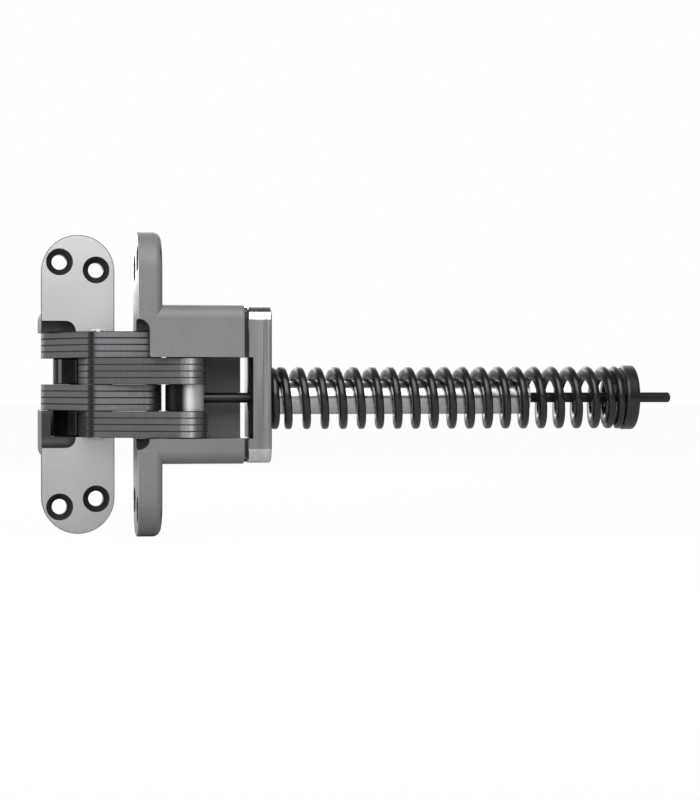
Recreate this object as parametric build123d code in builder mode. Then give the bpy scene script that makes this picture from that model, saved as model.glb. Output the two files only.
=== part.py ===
from build123d import *
import math
import os

# Concealed door hinge with a spring closer, 90 degrees open.
# Frame: origin at the centre of the closer leaf's face. The face looks along -X,
# the housing, rod and spring run along +X, the leaf is wide along Y and tall along Z.
# The open side of the housing is at -Y.

# Leaf plate and housing
leaf_width = 28.6
leaf_height = 117.5
plate_thick = 9.3
plate_back_round = 3.0
face_edge = 0.35
housing_height = 61.0
housing_round = 5.0
housing_back = 40.9
housing_edge = 0.8
land_inset = 1.6
land_thick = 1.0

# Mounting screws, one near each end of the plate on its open side and on its far side
screw_radius = 3.0
screw_head_radius = 5.3
screw_head_angle = 82
open_screw_from_edge = 7.1
open_screw_from_end = 10.65
far_screw_from_edge = 7.2
far_screw_from_end = 13.75

# Link stacks: four layers of flat links, each layer a pack of laminations
layer_pitch = 10.3
laminations = 4
layer_gap = 0.06
running_gap = 0.05
pin_radius = 2.4

# Linkage in plan: fixed pivot, centre pivot and slide pivot of the closer leaf
fixed_x = 7.2
fixed_from_edge = 4.4
fixed_to_centre = 21.4
centre_lean = 7.5
centre_to_slide = 35.1
pin_seat = 5.0

# Link outline in plan
centre_boss = 4.6
corner_reach = 3.5
corner_round = 1.2
lamination_edge = 0.2
slide_boss = 6.2
slide_lobe = 6.6
slide_lobe_drop = 7.2
fixed_boss = 3.6
fixed_lobe = 5.7
fixed_lobe_back = 2.6
fixed_lobe_drop = 3.9
slide_relief = 13.8
slide_relief_back = 4.7
slide_relief_out = 0.7
fixed_relief = 7.2
fixed_relief_back = 9.2
fixed_relief_out = 3.1

# Housing cavity
cavity_play = 0.2
far_wall_start = 14.0
far_wall = 2.4
near_wall = 3.7
back_wall = 1.2
wall_corner_round = 0.8
pocket_depth = 4.3
pocket_rim = 4.2
pocket_inner = -0.9
pocket_round = 4.0
pocket_floor_round = 4.2

# Shoes on the slide pins and the eye on the end of the rod
shoe_radius = 9.0
shoe_edge = 0.4
eye_end = 25.6
rod_seat = 2.0

# Closer: block, guide tube, spring, end cap and rod
block_thick = 9.2
block_height = 60.4
block_round = 5.5
block_edge = 0.5
channel_depth = 2.0
block_hole_radius = 6.0
tube_radius = 6.5
tube_bore = 5.3
tube_seat = 6.0
tube_end = 154.6
spring_radius = 12.35
wire_deep = 5.5
wire_wide = 3.2
wire_corner = 1.4
closed_pitch = 3.5
end_turns = 1
open_turns = 18
end_grind = 0.6
cap_front = 192.3
cap_thick = 5.3
cap_radius = 12.7
cap_edge = 1.0
rod_radius = 2.0
rod_end = 212.8
rod_edge = 0.6

# Places that follow from the driving dimensions
leaf_edge = leaf_width / 2
leaf_end = leaf_height / 2
screw_places = [
    (open_screw_from_edge - leaf_edge, leaf_end - open_screw_from_end),
    (open_screw_from_edge - leaf_edge, open_screw_from_end - leaf_end),
    (leaf_edge - far_screw_from_edge, leaf_end - far_screw_from_end),
    (leaf_edge - far_screw_from_edge, far_screw_from_end - leaf_end),
]
cavity_half = 2 * layer_pitch + cavity_play
near_wall_bottom = layer_pitch + cavity_play
near_wall_inner = near_wall - leaf_edge
far_wall_inner = leaf_edge - far_wall
pocket_half = cavity_half + pocket_rim
fixed_y = leaf_edge - fixed_from_edge
lean = math.radians(centre_lean)
centre_x = fixed_x - fixed_to_centre * math.cos(lean)
centre_y = fixed_y - fixed_to_centre * math.sin(lean)
slide_y = 0.0
slide_x = centre_x + math.sqrt(centre_to_slide**2 - centre_y**2)
mirror_shift = centre_y - centre_x
layer_thick = layer_pitch - layer_gap
plate_pitch = layer_thick / laminations
rod_z = -layer_pitch / 2
block_front = housing_back + land_thick
block_back = block_front + block_thick

# The second leaf is the first turned half a turn about this line
fold_line = Axis((-mirror_shift, 0, 0), (1, 1, 0))

os.makedirs("parts", exist_ok=True)


def save(piece, name):
    """Label a finished piece and write it as one STEP file."""
    piece.label = name
    export_step(piece, f"parts/{name}.step")


def across(x, y):
    """Plan point on the other side of the fold line."""
    return (y - mirror_shift, x + mirror_shift)


# Relief pocket behind the face, round the open side of the link opening
with BuildPart() as pocket:
    with BuildSketch(Plane.YZ) as pocket_outline:
        with Locations((pocket_inner, 0)):
            Rectangle(leaf_width, 2 * pocket_half, align=(Align.MAX, Align.CENTER))
        fillet(pocket_outline.vertices().group_by(Axis.X)[-1], pocket_round)
    extrude(amount=pocket_depth)
    fillet(pocket.edges().group_by(Axis.X)[-1], pocket_floor_round)

# Leaf casting: face plate, housing and the cavity that the links fold into
with BuildPart() as right_leaf:
    with BuildSketch(Plane.YZ):
        SlotOverall(leaf_height, leaf_width, rotation=90)
    extrude(amount=plate_thick)
    fillet(right_leaf.edges().group_by(Axis.X)[-1], plate_back_round)
    chamfer(right_leaf.edges().group_by(Axis.X)[0], face_edge)
    with BuildSketch(Plane.YZ.offset(plate_back_round)):
        RectangleRounded(leaf_width, housing_height, housing_round)
    extrude(amount=housing_back - plate_back_round)
    fillet(right_leaf.edges().group_by(Axis.X)[-1], housing_edge)
    with BuildSketch(Plane.YZ.offset(housing_back)):
        land_width = leaf_width - 2 * land_inset
        land_height = housing_height - 2 * land_inset
        RectangleRounded(land_width, land_height, housing_round - land_inset)
    extrude(amount=land_thick)
    # The mouth is open at the far side, so that the arms can swing out past the edge
    with BuildSketch(Plane.YZ):
        with Locations((near_wall_inner, 0)):
            Rectangle(leaf_width, 2 * cavity_half, align=(Align.MIN, Align.CENTER))
    extrude(amount=far_wall_start, mode=Mode.SUBTRACT)
    # The cavity behind it has a far wall, and the top layer also a back wall
    cavity_width = far_wall_inner - near_wall_inner
    with BuildSketch(Plane.YZ):
        with Locations((near_wall_inner, 0)):
            Rectangle(cavity_width, 2 * cavity_half, align=(Align.MIN, Align.CENTER))
    extrude(amount=block_front - back_wall, mode=Mode.SUBTRACT)
    # Below the top layer it is a window in the open side, and is open at the back
    with BuildSketch(Plane.YZ):
        with Locations((far_wall_inner, -cavity_half)):
            Rectangle(2 * leaf_width, cavity_half + near_wall_bottom, align=(Align.MAX, Align.MIN))
    extrude(amount=block_front, mode=Mode.SUBTRACT)
    add(pocket.part, mode=Mode.SUBTRACT)
    wall_corner = (pocket_depth, -leaf_edge, near_wall_bottom)
    fillet(right_leaf.edges().filter_by(Axis.Y).sort_by_distance(wall_corner)[0], wall_corner_round)
    # Blind seats of the fixed pivot pin in the two cheeks
    with BuildSketch(Plane.XY):
        with Locations((fixed_x, fixed_y)):
            Circle(pin_radius)
    extrude(amount=cavity_half + pin_seat, both=True, mode=Mode.SUBTRACT)
    with Locations(Plane((0, 0, 0), x_dir=(0, 1, 0), z_dir=(-1, 0, 0))):
        with Locations(*screw_places):
            CounterSinkHole(screw_radius, screw_head_radius, plate_thick, screw_head_angle)
save(right_leaf.part, "right_leaf")

save(right_leaf.part.rotate(fold_line, 180), "left_leaf")


def link_outline(centre_hole):
    """Profile of one lamination of stack B, whose slide end is in the closer leaf."""
    corner_shift = corner_reach / math.sqrt(2)
    corner = (centre_x - corner_shift, centre_y - corner_shift)
    fixed_end = across(fixed_x, fixed_y)
    fixed_bulge = across(fixed_x - fixed_lobe_back, fixed_y - fixed_lobe_drop)
    with BuildSketch() as slide_arm:
        with Locations((centre_x, centre_y)):
            Circle(centre_boss)
        with Locations(corner):
            Circle(corner_round)
        with Locations((slide_x, slide_y)):
            Circle(slide_boss)
        with Locations((slide_x, slide_y - slide_lobe_drop)):
            Circle(slide_lobe)
        make_hull()
        with Locations((fixed_x - slide_relief_back, fixed_y + slide_relief_out)):
            Circle(slide_relief, mode=Mode.SUBTRACT)
    with BuildSketch() as fixed_arm:
        with Locations((centre_x, centre_y)):
            Circle(centre_boss)
        with Locations(corner):
            Circle(corner_round)
        with Locations(fixed_end):
            Circle(fixed_boss)
        with Locations(fixed_bulge):
            Circle(fixed_lobe)
        make_hull()
        with Locations(across(fixed_x - fixed_relief_back, fixed_y + fixed_relief_out)):
            Circle(fixed_relief, mode=Mode.SUBTRACT)
    with BuildSketch() as outline:
        add(slide_arm.sketch)
        add(fixed_arm.sketch)
        with Locations((centre_x, centre_y)):
            Circle(centre_boss)
            Circle(centre_hole, mode=Mode.SUBTRACT)
        with Locations(fixed_end):
            Circle(fixed_boss)
            Circle(pin_radius + running_gap, mode=Mode.SUBTRACT)
        with Locations((slide_x, slide_y)):
            Circle(pin_radius, mode=Mode.SUBTRACT)
    return outline.sketch


# Stack B fills the second and fourth layers, stack A the first and third.
# The centre pin is fast in stack A and turns in stack B.
turning_link = link_outline(pin_radius + running_gap)
pinned_link = link_outline(pin_radius)
for layer, layer_bottom in enumerate((0.0, -2 * layer_pitch)):
    for plate in range(laminations):
        height = layer_bottom + layer_gap / 2 + plate * plate_pitch
        number = layer * laminations + plate + 1
        with BuildPart() as link_b:
            with BuildSketch(Plane.XY.offset(height)):
                add(turning_link)
            extrude(amount=plate_pitch)
            chamfer(link_b.edges().filter_by(Plane.XY), lamination_edge)
        save(link_b.part, f"link_b_{number}")
        with BuildPart() as link_a:
            with BuildSketch(Plane.XY.offset(height)):
                add(pinned_link)
            extrude(amount=plate_pitch)
            chamfer(link_a.edges().filter_by(Plane.XY), lamination_edge)
        save(link_a.part.rotate(fold_line, 180), f"link_a_{number}")


def upright_pin(plan_point, half_length):
    """Plain round pin along Z."""
    with BuildPart() as pin:
        with BuildSketch(Plane.XY):
            with Locations(plan_point):
                Circle(pin_radius)
        extrude(amount=half_length, both=True)
    return pin.part


stack_half = 2 * layer_pitch - layer_gap / 2
save(upright_pin((fixed_x, fixed_y), cavity_half + pin_seat), "right_fixed_pin")
save(upright_pin(across(fixed_x, fixed_y), cavity_half + pin_seat), "left_fixed_pin")
save(upright_pin((centre_x, centre_y), stack_half), "centre_pin")
save(upright_pin((slide_x, slide_y), stack_half), "right_slide_pin")
save(upright_pin(across(slide_x, slide_y), stack_half), "left_slide_pin")


def shoe(plan_point, layer_bottom):
    """Round guide shoe on a slide pin, one layer tall."""
    with BuildPart() as disc:
        with BuildSketch(Plane.XY.offset(layer_bottom + layer_gap / 2)):
            with Locations(plan_point):
                Circle(shoe_radius)
        extrude(amount=layer_thick)
        chamfer(disc.edges(), shoe_edge)
        with BuildSketch(Plane.XY.offset(layer_bottom + layer_gap / 2)):
            with Locations(plan_point):
                Circle(pin_radius)
        extrude(amount=layer_thick, mode=Mode.SUBTRACT)
    return disc.part


save(shoe((slide_x, slide_y), layer_pitch), "right_shoe")
save(shoe(across(slide_x, slide_y), 0.0), "left_shoe_upper")
save(shoe(across(slide_x, slide_y), -2 * layer_pitch), "left_shoe_lower")

# Eye on the closer leaf's slide pin, cut flat where the rod screws in
with BuildPart() as rod_eye:
    with BuildSketch(Plane.XY.offset(layer_gap / 2 - layer_pitch)):
        with Locations((slide_x, slide_y)):
            Circle(shoe_radius)
            Circle(pin_radius + running_gap, mode=Mode.SUBTRACT)
        with Locations((eye_end, slide_y)):
            Rectangle(shoe_radius, 4 * shoe_radius, align=(Align.MIN, Align.CENTER), mode=Mode.SUBTRACT)
    extrude(amount=layer_thick)
    with BuildSketch(Plane.YZ.offset(eye_end)):
        with Locations((slide_y, rod_z)):
            Circle(rod_radius)
    extrude(amount=-rod_seat, mode=Mode.SUBTRACT)
save(rod_eye.part, "rod_eye")

# Rod from the eye, through the block, tube, spring and cap
with BuildPart() as rod:
    with BuildSketch(Plane.YZ.offset(eye_end - rod_seat)):
        with Locations((slide_y, rod_z)):
            Circle(rod_radius)
    extrude(amount=rod_end - eye_end + rod_seat)
    chamfer(rod.edges().group_by(Axis.X)[-1], rod_edge)
save(rod.part, "rod")

# Block on the back of the housing, with a channel for the ends of the links
with BuildPart() as closer_block:
    with BuildSketch(Plane.YZ.offset(block_front)):
        RectangleRounded(leaf_width, block_height, block_round)
    extrude(amount=block_thick)
    chamfer(closer_block.edges().group_by(Axis.X)[0], block_edge)
    chamfer(closer_block.edges().group_by(Axis.X)[-1], block_edge)
    with BuildSketch(Plane.XZ):
        with Locations((block_front, -cavity_half)):
            channel_height = cavity_half + near_wall_bottom
            Rectangle(2 * channel_depth, channel_height, align=(Align.CENTER, Align.MIN))
    extrude(amount=leaf_width, both=True, mode=Mode.SUBTRACT)
    with BuildSketch(Plane.YZ.offset(block_front)):
        with Locations((slide_y, rod_z)):
            Circle(block_hole_radius)
    extrude(amount=block_thick, mode=Mode.SUBTRACT)
    with BuildSketch(Plane.YZ.offset(block_back)):
        with Locations((slide_y, rod_z)):
            Circle(tube_radius)
    extrude(amount=-tube_seat, mode=Mode.SUBTRACT)
save(closer_block.part, "closer_block")

with BuildPart() as guide_tube:
    with BuildSketch(Plane.YZ.offset(block_back - tube_seat)):
        with Locations((slide_y, rod_z)):
            Circle(tube_radius)
            Circle(tube_bore, mode=Mode.SUBTRACT)
    extrude(amount=tube_end - block_back + tube_seat)
save(guide_tube.part, "guide_tube")

# Compression spring of flat wire, deeper than wide, with closed ends ground flat
coil_radius = spring_radius - wire_deep / 2
coil_first = block_back + wire_wide / 2 - end_grind
coil_last = cap_front - wire_wide / 2 + end_grind
open_start = coil_first + end_turns * closed_pitch
open_end = coil_last - end_turns * closed_pitch
open_pitch = (open_end - open_start) / open_turns
with BuildPart() as spring:
    with BuildLine() as coil:
        for pitch, low, high in (
            (closed_pitch, coil_first, open_start),
            (open_pitch, open_start, open_end),
            (closed_pitch, open_end, coil_last),
        ):
            Helix(pitch, high - low, coil_radius, center=(low, slide_y, rod_z), direction=(1, 0, 0))
    wire_path = coil.wires()[0]
    outward = wire_path @ 0 - Vector(coil_first, slide_y, rod_z)
    with BuildSketch(Plane(origin=wire_path @ 0, x_dir=outward, z_dir=wire_path % 0)):
        RectangleRounded(wire_deep, wire_wide, wire_corner)
    sweep(path=wire_path, is_frenet=True)
    with BuildSketch(Plane.YZ.offset(block_back)):
        with Locations((slide_y, rod_z)):
            Circle(2 * spring_radius)
    extrude(amount=cap_front - block_back, mode=Mode.INTERSECT)
save(spring.part, "spring")

with BuildPart() as end_cap:
    with BuildSketch(Plane.YZ.offset(cap_front)):
        with Locations((slide_y, rod_z)):
            Circle(cap_radius)
    extrude(amount=cap_thick)
    fillet(end_cap.edges(), cap_edge)
    with BuildSketch(Plane.YZ.offset(cap_front)):
        with Locations((slide_y, rod_z)):
            Circle(rod_radius)
    extrude(amount=cap_thick, mode=Mode.SUBTRACT)
save(end_cap.part, "end_cap")
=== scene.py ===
import math

import bpy
import numpy as np
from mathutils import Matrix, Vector


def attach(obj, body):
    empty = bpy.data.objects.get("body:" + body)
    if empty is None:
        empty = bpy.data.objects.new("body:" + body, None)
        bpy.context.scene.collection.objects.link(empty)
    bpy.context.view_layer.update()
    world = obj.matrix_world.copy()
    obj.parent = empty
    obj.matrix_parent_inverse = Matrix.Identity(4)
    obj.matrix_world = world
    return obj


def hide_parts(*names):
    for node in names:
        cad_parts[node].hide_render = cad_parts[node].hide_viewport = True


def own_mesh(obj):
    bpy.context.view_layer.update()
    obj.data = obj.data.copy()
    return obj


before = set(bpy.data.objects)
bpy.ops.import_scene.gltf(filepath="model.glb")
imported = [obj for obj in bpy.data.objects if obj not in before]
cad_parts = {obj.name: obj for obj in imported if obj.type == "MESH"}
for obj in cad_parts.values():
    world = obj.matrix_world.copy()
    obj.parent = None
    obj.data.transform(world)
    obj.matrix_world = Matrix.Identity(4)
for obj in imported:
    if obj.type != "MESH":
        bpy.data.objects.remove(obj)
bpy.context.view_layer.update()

# Sizes in metres, in the frame of the part: X along the spring, Z along the leaves
MM = 0.001

# Leaves, with each screw as its place across the leaf and its height from the middle
LEAF_EDGE = 14.3 * MM
LEAF_END = 58.75 * MM
PLAIN_FACE_Y = 21.12366 * MM
OPEN_SCREW = (-7.2 * MM, 48.1 * MM)
FAR_SCREW = (7.1 * MM, 45.0 * MM)
SINK_RADIUS = 5.4 * MM
WINDOW_END = 25.2 * MM
HOUSING_BACK = 40.9 * MM

# Crossing links, with the riveted heads of their centre pin
LAYER_PITCH = 10.3 * MM
LAYER_GAP = 0.06 * MM
PLATE_PITCH = (LAYER_PITCH - LAYER_GAP) / 4
STACK_TOP = 20.57 * MM
# The fold corner, round which the links carry a painted dark reflection, and the line and tip that
# bound the painted highlight on their lobes
FOLD_CORNER = -16.49 * MM
LOBE_LINE = -12.65 * MM
LOBE_TIP = 21.4 * MM
CENTRE_PIN = (-14.017 * MM, 7.107 * MM)
HEAD_RADIUS = 2.9 * MM
HEAD_HIGH = 1.0 * MM
HEAD_SUNK = 0.02 * MM

# Closer, from the rod eye to the cap
ROD_Z = -5.15 * MM
# Where the rod eye's painted dark reflection ends, and the length over which it fades
EYE_DARK_REFLECTION_END = 19.8 * MM
DARK_REFLECTION_FADE = 3.0 * MM
BLOCK_FRONT = 41.9 * MM
CHANNEL_FLOOR = 43.9 * MM
CHANNEL_END = 21.5 * MM
BLOCK_CORNER = 24.75 * MM
BLOCK_BACK = 51.1 * MM
CAP_FRONT = 192.3 * MM
SPRING_RADIUS = 12.35 * MM
WIRE_DEEP = 5.5 * MM
WIRE_WIDE = 3.2 * MM
CLOSED_PITCH = 3.6 * MM
OPEN_PITCH = 7.24 * MM

# Stage
FLOOR_HALF = 6.0
FLOOR_GAP = 0.3 * MM
FLOOR_WHITE = 0.97
FRONT_GLOW = 0.10
FILL_GLOW = 0.34

# Camera: the distance in metres, and the lens as its focal length in pixels of the picture
CAMERA_AIM = Vector((83.7, 0.0, -6.1)) * MM
CAMERA_AWAY = 1.0
CAMERA_AZIMUTH = math.radians(-9.1)
CAMERA_RISE = math.radians(0.4)
FOCAL_PIXELS = 2556
PICTURE_HIGH = 800
SENSOR_HIGH = 24.0

LINKS_A = ["link_a_%d" % n for n in range(1, 9)]
LINKS_B = ["link_b_%d" % n for n in range(1, 9)]
PINS = ["right_fixed_pin", "left_fixed_pin", "centre_pin", "right_slide_pin", "left_slide_pin"]
SHOES = ["right_shoe", "left_shoe_upper", "left_shoe_lower"]

scene = bpy.context.scene
scene.view_settings.view_transform = "Standard"


# Small helpers for writing finishes as node graphs

class Finish:
    """A node material with short calls for the nodes that the finishes share."""

    def __init__(self, name):
        self.material = bpy.data.materials.new(name)
        self.material.use_nodes = True
        self.nodes = self.material.node_tree.nodes
        self.links = self.material.node_tree.links
        self.shader = self.nodes["Principled BSDF"]
        self.place = self.nodes.new("ShaderNodeTexCoord").outputs["Object"]

    def set(self, **values):
        """Give the shader's own sockets values that are the same all over."""
        for socket, value in values.items():
            self.shader.inputs[socket.replace("_", " ")].default_value = value

    def join(self, source, socket):
        """Lead a value that varies to one of the shader's sockets."""
        self.links.new(source, self.shader.inputs[socket])

    def feed(self, socket, value):
        """Give a node's socket a number, a colour or another node's output."""
        if isinstance(value, bpy.types.NodeSocket):
            self.links.new(value, socket)
        else:
            socket.default_value = value

    def axis(self, letter):
        """One coordinate of the place on the part."""
        split = self.nodes.new("ShaderNodeSeparateXYZ")
        self.links.new(self.place, split.inputs[0])
        return split.outputs[letter]

    def math(self, operation, a, b=0.0):
        node = self.nodes.new("ShaderNodeMath")
        node.operation = operation
        self.feed(node.inputs[0], a)
        self.feed(node.inputs[1], b)
        return node.outputs[0]

    def times(self, product, *others):
        """The product of masks and amounts."""
        for other in others:
            product = self.math("MULTIPLY", product, other)
        return product

    def distance(self, a, b):
        """The root of the sum of two squares."""
        return self.math("SQRT", self.math("ADD", self.times(a, a), self.times(b, b)))

    def ramp(self, value, low, high, to_low=0.0, to_high=1.0):
        """A smooth step from to_low, where the value is low, to to_high, where it is high."""
        node = self.nodes.new("ShaderNodeMapRange")
        node.interpolation_type = "SMOOTHSTEP"
        for name, given in (("Value", value), ("From Min", low), ("From Max", high),
                            ("To Min", to_low), ("To Max", to_high)):
            self.feed(node.inputs[name], given)
        return node.outputs["Result"]

    def over(self, value, limit, soft):
        """A mask that is 1 above the limit, with an edge this soft on both sides."""
        return self.ramp(value, limit - soft, limit + soft)

    def under(self, value, limit, soft):
        """A mask that is 1 below the limit, with an edge this soft on both sides."""
        return self.ramp(value, limit + soft, limit - soft)

    def between(self, mask, outside, inside):
        """One number where the mask is 0 and another where it is 1."""
        return self.ramp(mask, 0.0, 1.0, outside, inside)

    def stretched(self, scale):
        """The place on the part, scaled along each axis."""
        node = self.nodes.new("ShaderNodeMapping")
        node.inputs["Scale"].default_value = scale
        self.links.new(self.place, node.inputs["Vector"])
        return node.outputs["Vector"]

    def noise(self, scale, detail=3.0, rough=0.6, vector=None):
        node = self.nodes.new("ShaderNodeTexNoise")
        self.links.new(vector or self.place, node.inputs["Vector"])
        node.inputs["Scale"].default_value = scale
        node.inputs["Detail"].default_value = detail
        node.inputs["Roughness"].default_value = rough
        return node.outputs["Fac"]

    def soft_noise(self, scale, vector=None):
        """Noise with less fine detail."""
        return self.noise(scale, detail=2.0, rough=0.5, vector=vector)

    def mix(self, factor, a, b):
        """Colour a where the factor is 0 and colour b where it is 1."""
        node = self.nodes.new("ShaderNodeMix")
        node.data_type = "RGBA"
        for socket, value in ((node.inputs[0], factor), (node.inputs[6], a), (node.inputs[7], b)):
            self.feed(socket, value)
        return node.outputs[2]

    def shade(self, colour, amount):
        """A colour times a grey amount."""
        node = self.nodes.new("ShaderNodeMix")
        node.data_type = "RGBA"
        node.blend_type = "MULTIPLY"
        node.inputs[0].default_value = 1.0
        self.feed(node.inputs[6], colour)
        self.links.new(amount, node.inputs[7])
        return node.outputs[2]

    def bump(self, height, strength, distance):
        node = self.nodes.new("ShaderNodeBump")
        node.inputs["Strength"].default_value = strength
        node.inputs["Distance"].default_value = distance
        self.links.new(height, node.inputs["Height"])
        self.join(node.outputs["Normal"], "Normal")


def grey(level, warm=0.0):
    """A grey of this linear level, a little warm or cool."""
    return (level * (1 + warm), level, level * (1 - warm), 1.0)


# Tones
WHITE = grey(1.0)
CAST_TONE = grey(0.154, -0.016)
GROUND_TONE = grey(0.465, -0.008)
# Painted shade in the leaves' countersinks and hollows
SINK_SHADE_TONE = grey(0.050)
HOLLOW_FRONT_SHADE_TONE = grey(0.018)
HOLLOW_DEEP_SHADE_TONE = grey(0.14)
LINK_TONE = grey(0.186, -0.034)
# Painted highlight on the link lobes
LOBE_HIGHLIGHT_TONE = grey(0.46, -0.015)
SEAM_TONE = grey(0.010)
BRUSHED_TONE = grey(0.28, 0.024)
SMOOTHER_TONE = grey(0.54, 0.012)
# Painted shade: the housing's seat edge, and the block's channel near side and front rim
PAINTED_SHADE_TONE = grey(0.012)
# Painted dark reflection on the rod eye's left half
EYE_DARK_REFLECTION_TONE = grey(0.02)
FLOOR_LIT_TONE = grey(0.55)
FLOOR_SEEN_TONE = grey(0.98)
OXIDE_SHEEN = (0.93, 0.95, 1.0, 1.0)

# The part of a noise's range over which a finish changes
GRAIN_BAND = (0.2, 0.8)
CLOUD_BAND = (0.3, 0.7)
STREAK_BAND = (0.25, 0.75)
LINE_BAND = (0.32, 0.68)

# Scales that stretch a noise into marks along one axis
STREAKS_ALONG_X = (0.04, 1.0, 1.0)
STREAKS_ALONG_Z = (1.0, 1.0, 0.05)
SHEAR_MARKS = (1.6, 1.6, 0.25)
FINE_LINES = (1.0, 1.0, 0.012)
WIDE_LINES = (1.0, 1.0, 0.02)


# Finishes

def casting_finish(name, into, level, across, middle):
    """Sand-grained casting, with a ground satin face, and painted shade in the countersinks and
    hollows.

    Depth is the distance behind the face plane, and the face is where it is under a tenth of a
    millimetre. A countersink, behind the face and within the countersink radius of a screw's axis,
    gets painted shade. The hollows, behind the face, between the leaf's long edges and level with the
    link opening, get painted shade that is darkest near the front. The housing's back carries a
    painted shadow in black along its near edge, where it meets the block."""
    f = Finish(name)
    depth = f.math("SUBTRACT", f.axis(into), level)
    aside = f.math("SUBTRACT", f.axis(across), middle)
    height = f.math("ABSOLUTE", f.axis("Z"))

    def from_screw(screw_aside, screw_height):
        return f.distance(f.math("SUBTRACT", aside, screw_aside),
                          f.math("SUBTRACT", height, screw_height))

    face = f.under(depth, 0.06 * MM, 0.04 * MM)
    behind = f.math("SUBTRACT", 1.0, face)
    nearest = f.math("MINIMUM", from_screw(*OPEN_SCREW), from_screw(*FAR_SCREW))
    # Masks for painted shade in the countersinks and hollows, and for a painted shadow at the seat
    # edge
    sunk = f.times(f.under(nearest, SINK_RADIUS, 0.05 * MM), behind)
    within = f.under(f.math("ABSOLUTE", aside), LEAF_EDGE - 0.175 * MM, 0.125 * MM)
    hollow = f.times(f.under(height, WINDOW_END, 0.1 * MM), behind, within)
    seat_shadow = f.times(f.over(depth, HOUSING_BACK - 0.2 * MM, 0.1 * MM),
                        f.under(aside, -11.75 * MM, 0.25 * MM))

    grain = f.noise(3800, detail=4.0)
    cloud = f.soft_noise(60)
    cast = f.shade(CAST_TONE, f.ramp(grain, *GRAIN_BAND, 0.78, 1.22))
    cast = f.shade(cast, f.ramp(cloud, *CLOUD_BAND, 0.95, 1.05))
    ground = f.shade(GROUND_TONE, f.ramp(f.noise(900), *GRAIN_BAND, 0.985, 1.015))
    ground = f.shade(ground, f.ramp(cloud, *CLOUD_BAND, 0.96, 1.03))
    # Painted shade in the hollows, darkest near the front, and in the countersinks
    inside = f.mix(f.over(depth, 10 * MM, 4 * MM), HOLLOW_FRONT_SHADE_TONE, HOLLOW_DEEP_SHADE_TONE)
    inside = f.shade(inside, f.ramp(grain, *GRAIN_BAND, 0.8, 1.2))
    sink_shade = f.shade(SINK_SHADE_TONE, f.ramp(grain, *GRAIN_BAND, 0.85, 1.15))
    skin = f.mix(face, cast, ground)
    skin = f.mix(hollow, skin, inside)
    skin = f.mix(sunk, skin, sink_shade)
    # Painted shadow along the housing's back where it meets the block
    f.join(f.mix(seat_shadow, skin, PAINTED_SHADE_TONE), "Base Color")

    f.join(f.math("ADD", f.between(face, 0.20, 0.88), f.times(sunk, 0.5)), "Metallic")
    rough = f.math("ADD", f.between(face, 0.51, 0.265),
                   f.times(grain, f.between(face, 0.08, 0.012)))
    f.join(f.math("SUBTRACT", rough, f.times(sunk, 0.22)), "Roughness")
    f.bump(f.times(grain, behind), strength=0.25, distance=0.12 * MM)
    return f.material


def lamination_finish():
    """Dark punched steel in layers, with a painted highlight on the lobes.

    The height within a layer, modulo the thickness of one lamination, gives the distance to the
    nearest seam, and the seams are black and dull. Fine upright shear marks cross each plate's edge.
    The painted highlight on a lobe lies where the front of the closer leaf's links, or its mirror
    image in the plain leaf, passes a line, and the tip beyond it stays dark. The corner at the fold
    carries a painted dark reflection within about 2 mm of its edge."""
    f = Finish("link_laminations")
    x, y = f.axis("X"), f.axis("Y")
    in_layer = f.math("FLOORED_MODULO", f.axis("Z"), LAYER_PITCH)
    from_seam = f.math("PINGPONG", f.math("SUBTRACT", in_layer, LAYER_GAP / 2), PLATE_PITCH / 2)
    clear = f.over(from_seam, 0.265 * MM, 0.135 * MM)
    front = f.math("MINIMUM", y, f.math("ADD", x, PLAIN_FACE_Y))
    tip = f.math("MAXIMUM", x, f.math("SUBTRACT", y, PLAIN_FACE_Y))
    # Painted highlight on the lobes
    lobe_highlight = f.times(f.under(front, LOBE_LINE, 0.55 * MM), f.under(tip, LOBE_TIP, 1.2 * MM))
    # Distance from the fold corner, for its painted dark reflection
    from_corner = f.distance(f.math("SUBTRACT", x, FOLD_CORNER),
                             f.math("SUBTRACT", y, FOLD_CORNER + PLAIN_FACE_Y))

    marks = f.noise(900, vector=f.stretched(SHEAR_MARKS))
    # Painted highlight on the lobes, then a painted dark reflection round the fold corner
    steel = f.mix(lobe_highlight, LINK_TONE, LOBE_HIGHLIGHT_TONE)
    steel = f.shade(steel, f.ramp(from_corner, 1.1 * MM, 2.4 * MM, 0.16, 1.0))
    steel = f.shade(steel, f.ramp(marks, *STREAK_BAND, 0.90, 1.09))
    steel = f.shade(steel, f.ramp(f.noise(2600), *GRAIN_BAND, 0.97, 1.03))
    f.join(f.mix(clear, SEAM_TONE, steel), "Base Color")

    f.join(f.times(clear, 0.9), "Metallic")
    rough = f.math("SUBTRACT", f.ramp(marks, *STREAK_BAND, 0.34, 0.38), f.times(lobe_highlight, 0.08))
    f.join(f.math("ADD", rough, f.between(clear, 0.5, 0.0)), "Roughness")
    f.bump(marks, strength=0.03, distance=0.03 * MM)
    return f.material


def black_finish(name, level, rough):
    """Black oxide with a thin gloss: a dark base, slightly uneven, under a soft sheen."""
    f = Finish(name)
    uneven = 0.03
    grain = f.noise(1500)
    cloud = f.soft_noise(140)
    base = f.shade(grey(level, -0.04), f.ramp(cloud, *CLOUD_BAND, 0.85, 1.15))
    f.join(f.shade(base, f.ramp(grain, *GRAIN_BAND, 0.85, 1.15)), "Base Color")
    f.join(f.math("ADD", f.ramp(cloud, *CLOUD_BAND, rough - uneven, rough + uneven),
                  f.ramp(grain, *GRAIN_BAND, -uneven, uneven)), "Roughness")
    f.set(Specular_Tint=OXIDE_SHEEN)
    f.bump(grain, strength=0.08, distance=0.05 * MM)
    return f.material


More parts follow.
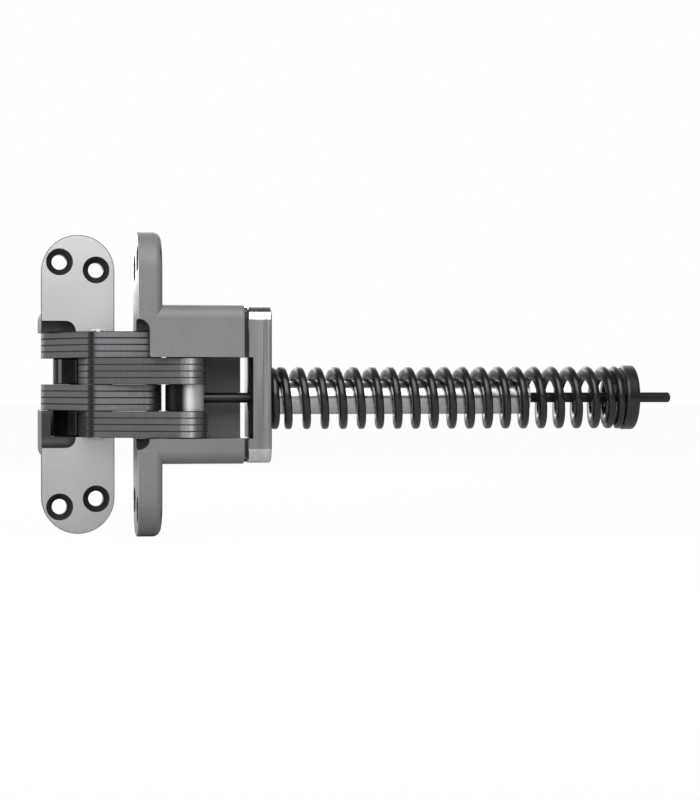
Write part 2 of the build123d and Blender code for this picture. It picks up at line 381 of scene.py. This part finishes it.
def bright_finish(name, level, rough, along, streaks=1.0, dark_reflection_to=None):
    """Plain drawn steel: a bright metal with faint streaks stretched along its length.

    Where dark_reflection_to is given, the piece is painted dark up to that X as a painted dark
    reflection, fading over the last 3 mm."""
    f = Finish(name)
    streak = f.noise(700, vector=f.stretched(along))
    darkest, brightest = 1 - 0.08 * streaks, 1 + 0.06 * streaks
    base = f.shade(grey(level, -0.016), f.ramp(streak, *STREAK_BAND, darkest, brightest))
    base = f.shade(base, f.ramp(f.soft_noise(120), *CLOUD_BAND, 0.95, 1.04))
    # Painted dark reflection up to the given X
    if dark_reflection_to is not None:
        past_dark_reflection = f.ramp(f.axis("X"), dark_reflection_to - DARK_REFLECTION_FADE, dark_reflection_to)
        base = f.mix(past_dark_reflection, EYE_DARK_REFLECTION_TONE, base)
    f.join(base, "Base Color")
    f.join(f.ramp(streak, *STREAK_BAND, rough - 0.05, rough + 0.06), "Roughness")
    f.set(Metallic=1.0)
    f.bump(streak, strength=0.06 * streaks, distance=0.03 * MM)
    return f.material


def brushed_finish():
    """Stainless block, brushed along its height: hair lines stretched along Z, in two widths.

    The round corners at both ends and the floor of the channel in front are smoother. The near side
    of that floor, between the channel's ends, and the front rim that meets the housing are painted
    black as painted shade, and dull."""
    f = Finish("brushed_block")
    x, y, height = f.axis("X"), f.axis("Y"), f.math("ABSOLUTE", f.axis("Z"))
    corner = f.over(height, BLOCK_CORNER, 0.15 * MM)
    channel = f.times(f.under(x, CHANNEL_FLOOR + 0.15 * MM, 0.05 * MM),
                      f.over(y, 0.2 * MM - LEAF_EDGE, 0.1 * MM))
    smoother = f.math("MAXIMUM", corner, channel)
    # Painted shade on the channel floor's near side between its ends, and on the front rim
    opened = f.under(height, CHANNEL_END, 0.5 * MM)
    near = f.under(y, 3.0 * MM, 4.0 * MM)
    rim = f.under(x, BLOCK_FRONT + 0.055 * MM, 0.025 * MM)
    painted_shade = f.math("MAXIMUM", f.times(channel, opened, near), rim)

    fine = f.soft_noise(2600, f.stretched(FINE_LINES))
    wide = f.soft_noise(700, f.stretched(WIDE_LINES))
    lines = f.math("ADD", f.times(fine, 0.6), f.times(wide, 0.4))
    steel = f.mix(smoother, BRUSHED_TONE, SMOOTHER_TONE)
    # Painted shade over the smoother and brushed steel
    steel = f.mix(painted_shade, steel, PAINTED_SHADE_TONE)
    f.join(f.shade(steel, f.ramp(lines, *LINE_BAND, 0.83, 1.18)), "Base Color")

    rough = f.math("SUBTRACT", f.ramp(lines, *LINE_BAND, 0.27, 0.38), f.times(smoother, 0.13))
    f.join(f.math("ADD", rough, f.times(painted_shade, 0.5)), "Roughness")
    f.set(Metallic=1.0)
    f.bump(lines, strength=0.10, distance=0.04 * MM)
    return f.material


def dress(nodes, material):
    """Give the named pieces one finish."""
    for name in nodes:
        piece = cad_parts[name]
        piece.data.materials.clear()
        piece.data.materials.append(material)


dress(["right_leaf"], casting_finish("closer_leaf_casting", into="X", level=0.0,
                                     across="Y", middle=0.0))
dress(["left_leaf"], casting_finish("plain_leaf_casting", into="Y", level=PLAIN_FACE_Y,
                                    across="X", middle=-PLAIN_FACE_Y))
dress(LINKS_A + LINKS_B, lamination_finish())
pin_steel = bright_finish("pin_steel", level=0.55, rough=0.30, along=STREAKS_ALONG_Z)
dress(PINS, pin_steel)
# The rod eye carries a painted dark reflection on its left half
dress(["rod_eye"], bright_finish("eye_steel", level=0.68, rough=0.40, along=STREAKS_ALONG_Z,
                                 streaks=0.4, dark_reflection_to=EYE_DARK_REFLECTION_END))
dress(["guide_tube"], bright_finish("tube_steel", level=0.44, rough=0.22, along=STREAKS_ALONG_X))
dress(["closer_block"], brushed_finish())
dress(SHOES, black_finish("shoe_black", level=0.006, rough=0.14))
dress(["rod"], black_finish("rod_black", level=0.006, rough=0.34))
dress(["end_cap"], black_finish("cap_black", level=0.014, rough=0.27))


# Pieces made as surfaces

def grid_mesh(name, points, closed):
    """A mesh on a grid of points with the shape (rows, columns, 3).

    Rows run along the piece and columns around it. Where closed is true, each row is joined into a
    ring, and the first and last rings are filled."""
    rows, columns = points.shape[:2]
    index = np.arange(rows * columns).reshape(rows, columns)
    caps = []
    if closed:
        caps = [index[0, ::-1].tolist(), index[-1].tolist()]
        index = np.concatenate([index, index[:, :1]], axis=1)
    quads = np.stack([index[:-1, :-1], index[:-1, 1:], index[1:, 1:], index[1:, :-1]], axis=-1)
    mesh = bpy.data.meshes.new(name)
    mesh.from_pydata(points.reshape(-1, 3).tolist(), [], quads.reshape(-1, 4).tolist() + caps)
    mesh.shade_smooth()
    mesh.update()
    piece = bpy.data.objects.new(name, mesh)
    scene.collection.objects.link(piece)
    return piece


def smooth(value):
    """Smooth step from 0 to 1: v squared times (3 - 2 v), with v held between 0 and 1."""
    value = np.clip(value, 0.0, 1.0)
    return value * value * (3 - 2 * value)


def oblong(wave):
    """One coordinate of the curve |u|^3 + |v|^3 = 1: a sine or cosine to the power 2/3, signed."""
    return np.sign(wave) * np.abs(wave)**(2 / 3)


def coil_spring():
    """Right-handed compression spring of flat wire with closed, ground ends.

    The wire's centre is (x(t), -R sin 2 pi t, R cos 2 pi t) from the rod's axis, with t in turns. The
    pitch dx/dt is the closed pitch in the end coils and rises smoothly to the open pitch between them,
    and x is then fitted between the block and the cap. A rounded oblong, the curve |u|^3 + |v|^3 = 1
    with u along the radius and v along the axis, is carried along it, and the ends are ground flat by
    holding x between the block and the cap."""
    first_turn, last_turn, steps = -1.0, 19.5, 1640
    opens_at, opens_over = -0.6, 1.2
    closes_at, closes_over = 17.0, 2.2
    wire_sides = 32

    t = np.linspace(first_turn, last_turn, steps)
    opened = smooth((t - opens_at) / opens_over) * (1 - smooth((t - closes_at) / closes_over))
    pitch = CLOSED_PITCH + (OPEN_PITCH - CLOSED_PITCH) * opened
    x = np.concatenate([[0.0], np.cumsum((pitch[1:] + pitch[:-1]) / 2 * np.diff(t))])
    first, last = BLOCK_BACK + WIRE_WIDE / 3, CAP_FRONT - WIRE_WIDE / 3
    x = first + x * (last - first) / x[-1]

    turn = 2 * np.pi * t
    radius = SPRING_RADIUS - WIRE_DEEP / 2
    speed = 2 * np.pi * radius
    zero = np.zeros_like(t)
    outward = np.stack([zero, -np.sin(turn), np.cos(turn)], axis=-1)
    centre = radius * outward + np.stack([x, zero, zero + ROD_Z], axis=-1)
    ahead = np.stack([np.gradient(x, t), -speed * np.cos(turn), -speed * np.sin(turn)], axis=-1)
    ahead /= np.linalg.norm(ahead, axis=-1, keepdims=True)
    sideways = np.cross(ahead, outward)

    angle = np.linspace(0, 2 * np.pi, wire_sides, endpoint=False)
    deep = WIRE_DEEP / 2 * oblong(np.cos(angle))
    wide = WIRE_WIDE / 2 * oblong(np.sin(angle))
    points = (centre[:, None, :] + deep[:, None] * outward[:, None, :]
              + wide[:, None] * sideways[:, None, :])
    points[..., 0] = np.clip(points[..., 0], BLOCK_BACK, CAP_FRONT)
    return grid_mesh("coil_spring", points, closed=True)


def pin_head(name, side):
    """Low riveted dome on one end of the centre pin.

    With s from 0 at the rim to 1 at the top and a the angle around, the radius is R cos(90 s) and the
    height above the links is H sin(90 s), in degrees. A first ring sets the rim a little into the
    links. The rows stop just short of the top, and a small flat closes it."""
    rings, sectors, top = 14, 48, 0.985
    s = np.concatenate([[0.0], np.linspace(0.0, top, rings)]) * np.pi / 2
    a = np.linspace(0, 2 * np.pi, sectors, endpoint=False) * side
    lift = np.sin(s) * HEAD_HIGH
    lift[0] = -HEAD_SUNK
    radius = np.cos(s)[:, None] * HEAD_RADIUS
    x = CENTRE_PIN[0] + radius * np.cos(a)
    y = CENTRE_PIN[1] + radius * np.sin(a)
    z = np.broadcast_to(side * (STACK_TOP + lift)[:, None], x.shape)
    head = grid_mesh(name, np.stack([x, y, z], axis=-1), closed=True)
    head.data.materials.append(pin_steel)
    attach(head, "link_a")


pin_head("centre_pin_head_upper", 1)
pin_head("centre_pin_head_lower", -1)

spring = coil_spring()
spring.data.materials.append(black_finish("spring_black", level=0.010, rough=0.25))
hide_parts("spring")
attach(spring, "closer_leaf")
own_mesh(spring)


# Stage: pale floor, white surroundings and soft light

def pale_floor():
    """A wide flat square just under the leaves. It shows almost white, with a faint shadow kept."""
    x, y = np.meshgrid([-FLOOR_HALF, FLOOR_HALF], [-FLOOR_HALF, FLOOR_HALF])
    z = np.full_like(x, -LEAF_END - FLOOR_GAP)
    floor = grid_mesh("floor", np.stack([x, y, z], axis=-1), closed=False)
    f = Finish("pale_floor")
    seen = f.nodes.new("ShaderNodeLightPath").outputs["Is Camera Ray"]
    f.join(f.mix(seen, FLOOR_LIT_TONE, FLOOR_SEEN_TONE), "Base Color")
    f.join(f.ramp(f.soft_noise(3), *CLOUD_BAND, 0.88, 0.94), "Roughness")
    glow = f.nodes.new("ShaderNodeEmission")
    glow.inputs["Color"].default_value = WHITE
    glow.inputs["Strength"].default_value = 1.0
    both = f.nodes.new("ShaderNodeMixShader")
    f.links.new(f.times(seen, FLOOR_WHITE), both.inputs[0])
    f.links.new(f.shader.outputs[0], both.inputs[1])
    f.links.new(glow.outputs[0], both.inputs[2])
    f.links.new(both.outputs[0], f.nodes["Material Output"].inputs["Surface"])
    floor.data.materials.append(f.material)


def surroundings():
    """White to the camera. Reflections find it bright behind the part and dim in front of it."""
    world = bpy.data.worlds.new("studio")
    world.use_nodes = True
    scene.world = world
    nodes, links = world.node_tree.nodes, world.node_tree.links

    def plain(strength):
        node = nodes.new("ShaderNodeBackground")
        node.inputs["Color"].default_value = WHITE
        node.inputs["Strength"].default_value = strength
        return node

    def choose(factor, a, b):
        node = nodes.new("ShaderNodeMixShader")
        for socket, source in zip(node.inputs, (factor, a.outputs[0], b.outputs[0])):
            links.new(source, socket)
        return node

    path = nodes.new("ShaderNodeLightPath")
    heading = nodes.new("ShaderNodeSeparateXYZ")
    links.new(nodes.new("ShaderNodeTexCoord").outputs["Generated"], heading.inputs[0])
    behind = nodes.new("ShaderNodeMapRange")
    behind.interpolation_type = "SMOOTHSTEP"
    links.new(heading.outputs["Y"], behind.inputs["Value"])
    for name, value in (("From Min", 0.1), ("From Max", 1.0),
                        ("To Min", FRONT_GLOW), ("To Max", 1.0)):
        behind.inputs[name].default_value = value
    mirrored = plain(1.0)
    links.new(behind.outputs["Result"], mirrored.inputs["Strength"])
    lit = choose(path.outputs["Is Glossy Ray"], plain(FILL_GLOW), mirrored)
    seen = nodes.new("ShaderNodeMath")
    seen.operation = "MAXIMUM"
    links.new(path.outputs["Is Camera Ray"], seen.inputs[0])
    links.new(path.outputs["Is Transmission Ray"], seen.inputs[1])
    shown = choose(seen.outputs[0], lit, plain(1.0))
    links.new(shown.outputs[0], nodes["World Output"].inputs["Surface"])


def soft_lamp(name, place, aim, width, height, watts):
    """An oblong soft lamp that looks at a point, in metres and watts."""
    data = bpy.data.lights.new(name, "AREA")
    data.shape = "RECTANGLE"
    data.size = width
    data.size_y = height
    data.energy = watts
    lamp = bpy.data.objects.new(name, data)
    lamp.location = place
    lamp.rotation_euler = (Vector(aim) - Vector(place)).to_track_quat("-Z", "Y").to_euler()
    scene.collection.objects.link(lamp)


def long_lens():
    """The camera at the photograph's angle: a long lens, a little left of square on."""
    flat = math.cos(CAMERA_RISE)
    away = Vector((math.sin(CAMERA_AZIMUTH) * flat, -math.cos(CAMERA_AZIMUTH) * flat,
                   math.sin(CAMERA_RISE)))
    lens = bpy.data.cameras.new("camera")
    lens.sensor_fit = "VERTICAL"
    lens.sensor_height = SENSOR_HIGH
    lens.lens = SENSOR_HIGH * FOCAL_PIXELS / PICTURE_HIGH
    lens.clip_start = 0.01
    lens.clip_end = 50.0
    camera = bpy.data.objects.new("camera", lens)
    camera.location = CAMERA_AIM + away * CAMERA_AWAY
    camera.rotation_euler = (-away).to_track_quat("-Z", "Y").to_euler()
    scene.collection.objects.link(camera)
    scene.camera = camera


pale_floor()
surroundings()
soft_lamp("lamp_above", place=(-0.05, -0.40, 0.36), aim=(0.03, 0.0, 0.0),
          width=0.62, height=0.56, watts=4.7)
soft_lamp("lamp_front", place=(0.01, -0.50, 0.03), aim=(-0.02, 0.02, 0.02),
          width=0.12, height=0.16, watts=0.06)
soft_lamp("lamp_back", place=(-0.05, 0.70, 0.30), aim=(0.05, 0.02, 0.0),
          width=0.70, height=0.50, watts=3.0)
soft_lamp("lamp_left", place=(-0.72, 0.02, 0.06), aim=(0.0, 0.02, 0.0),
          width=0.26, height=0.55, watts=1.4)
long_lens()
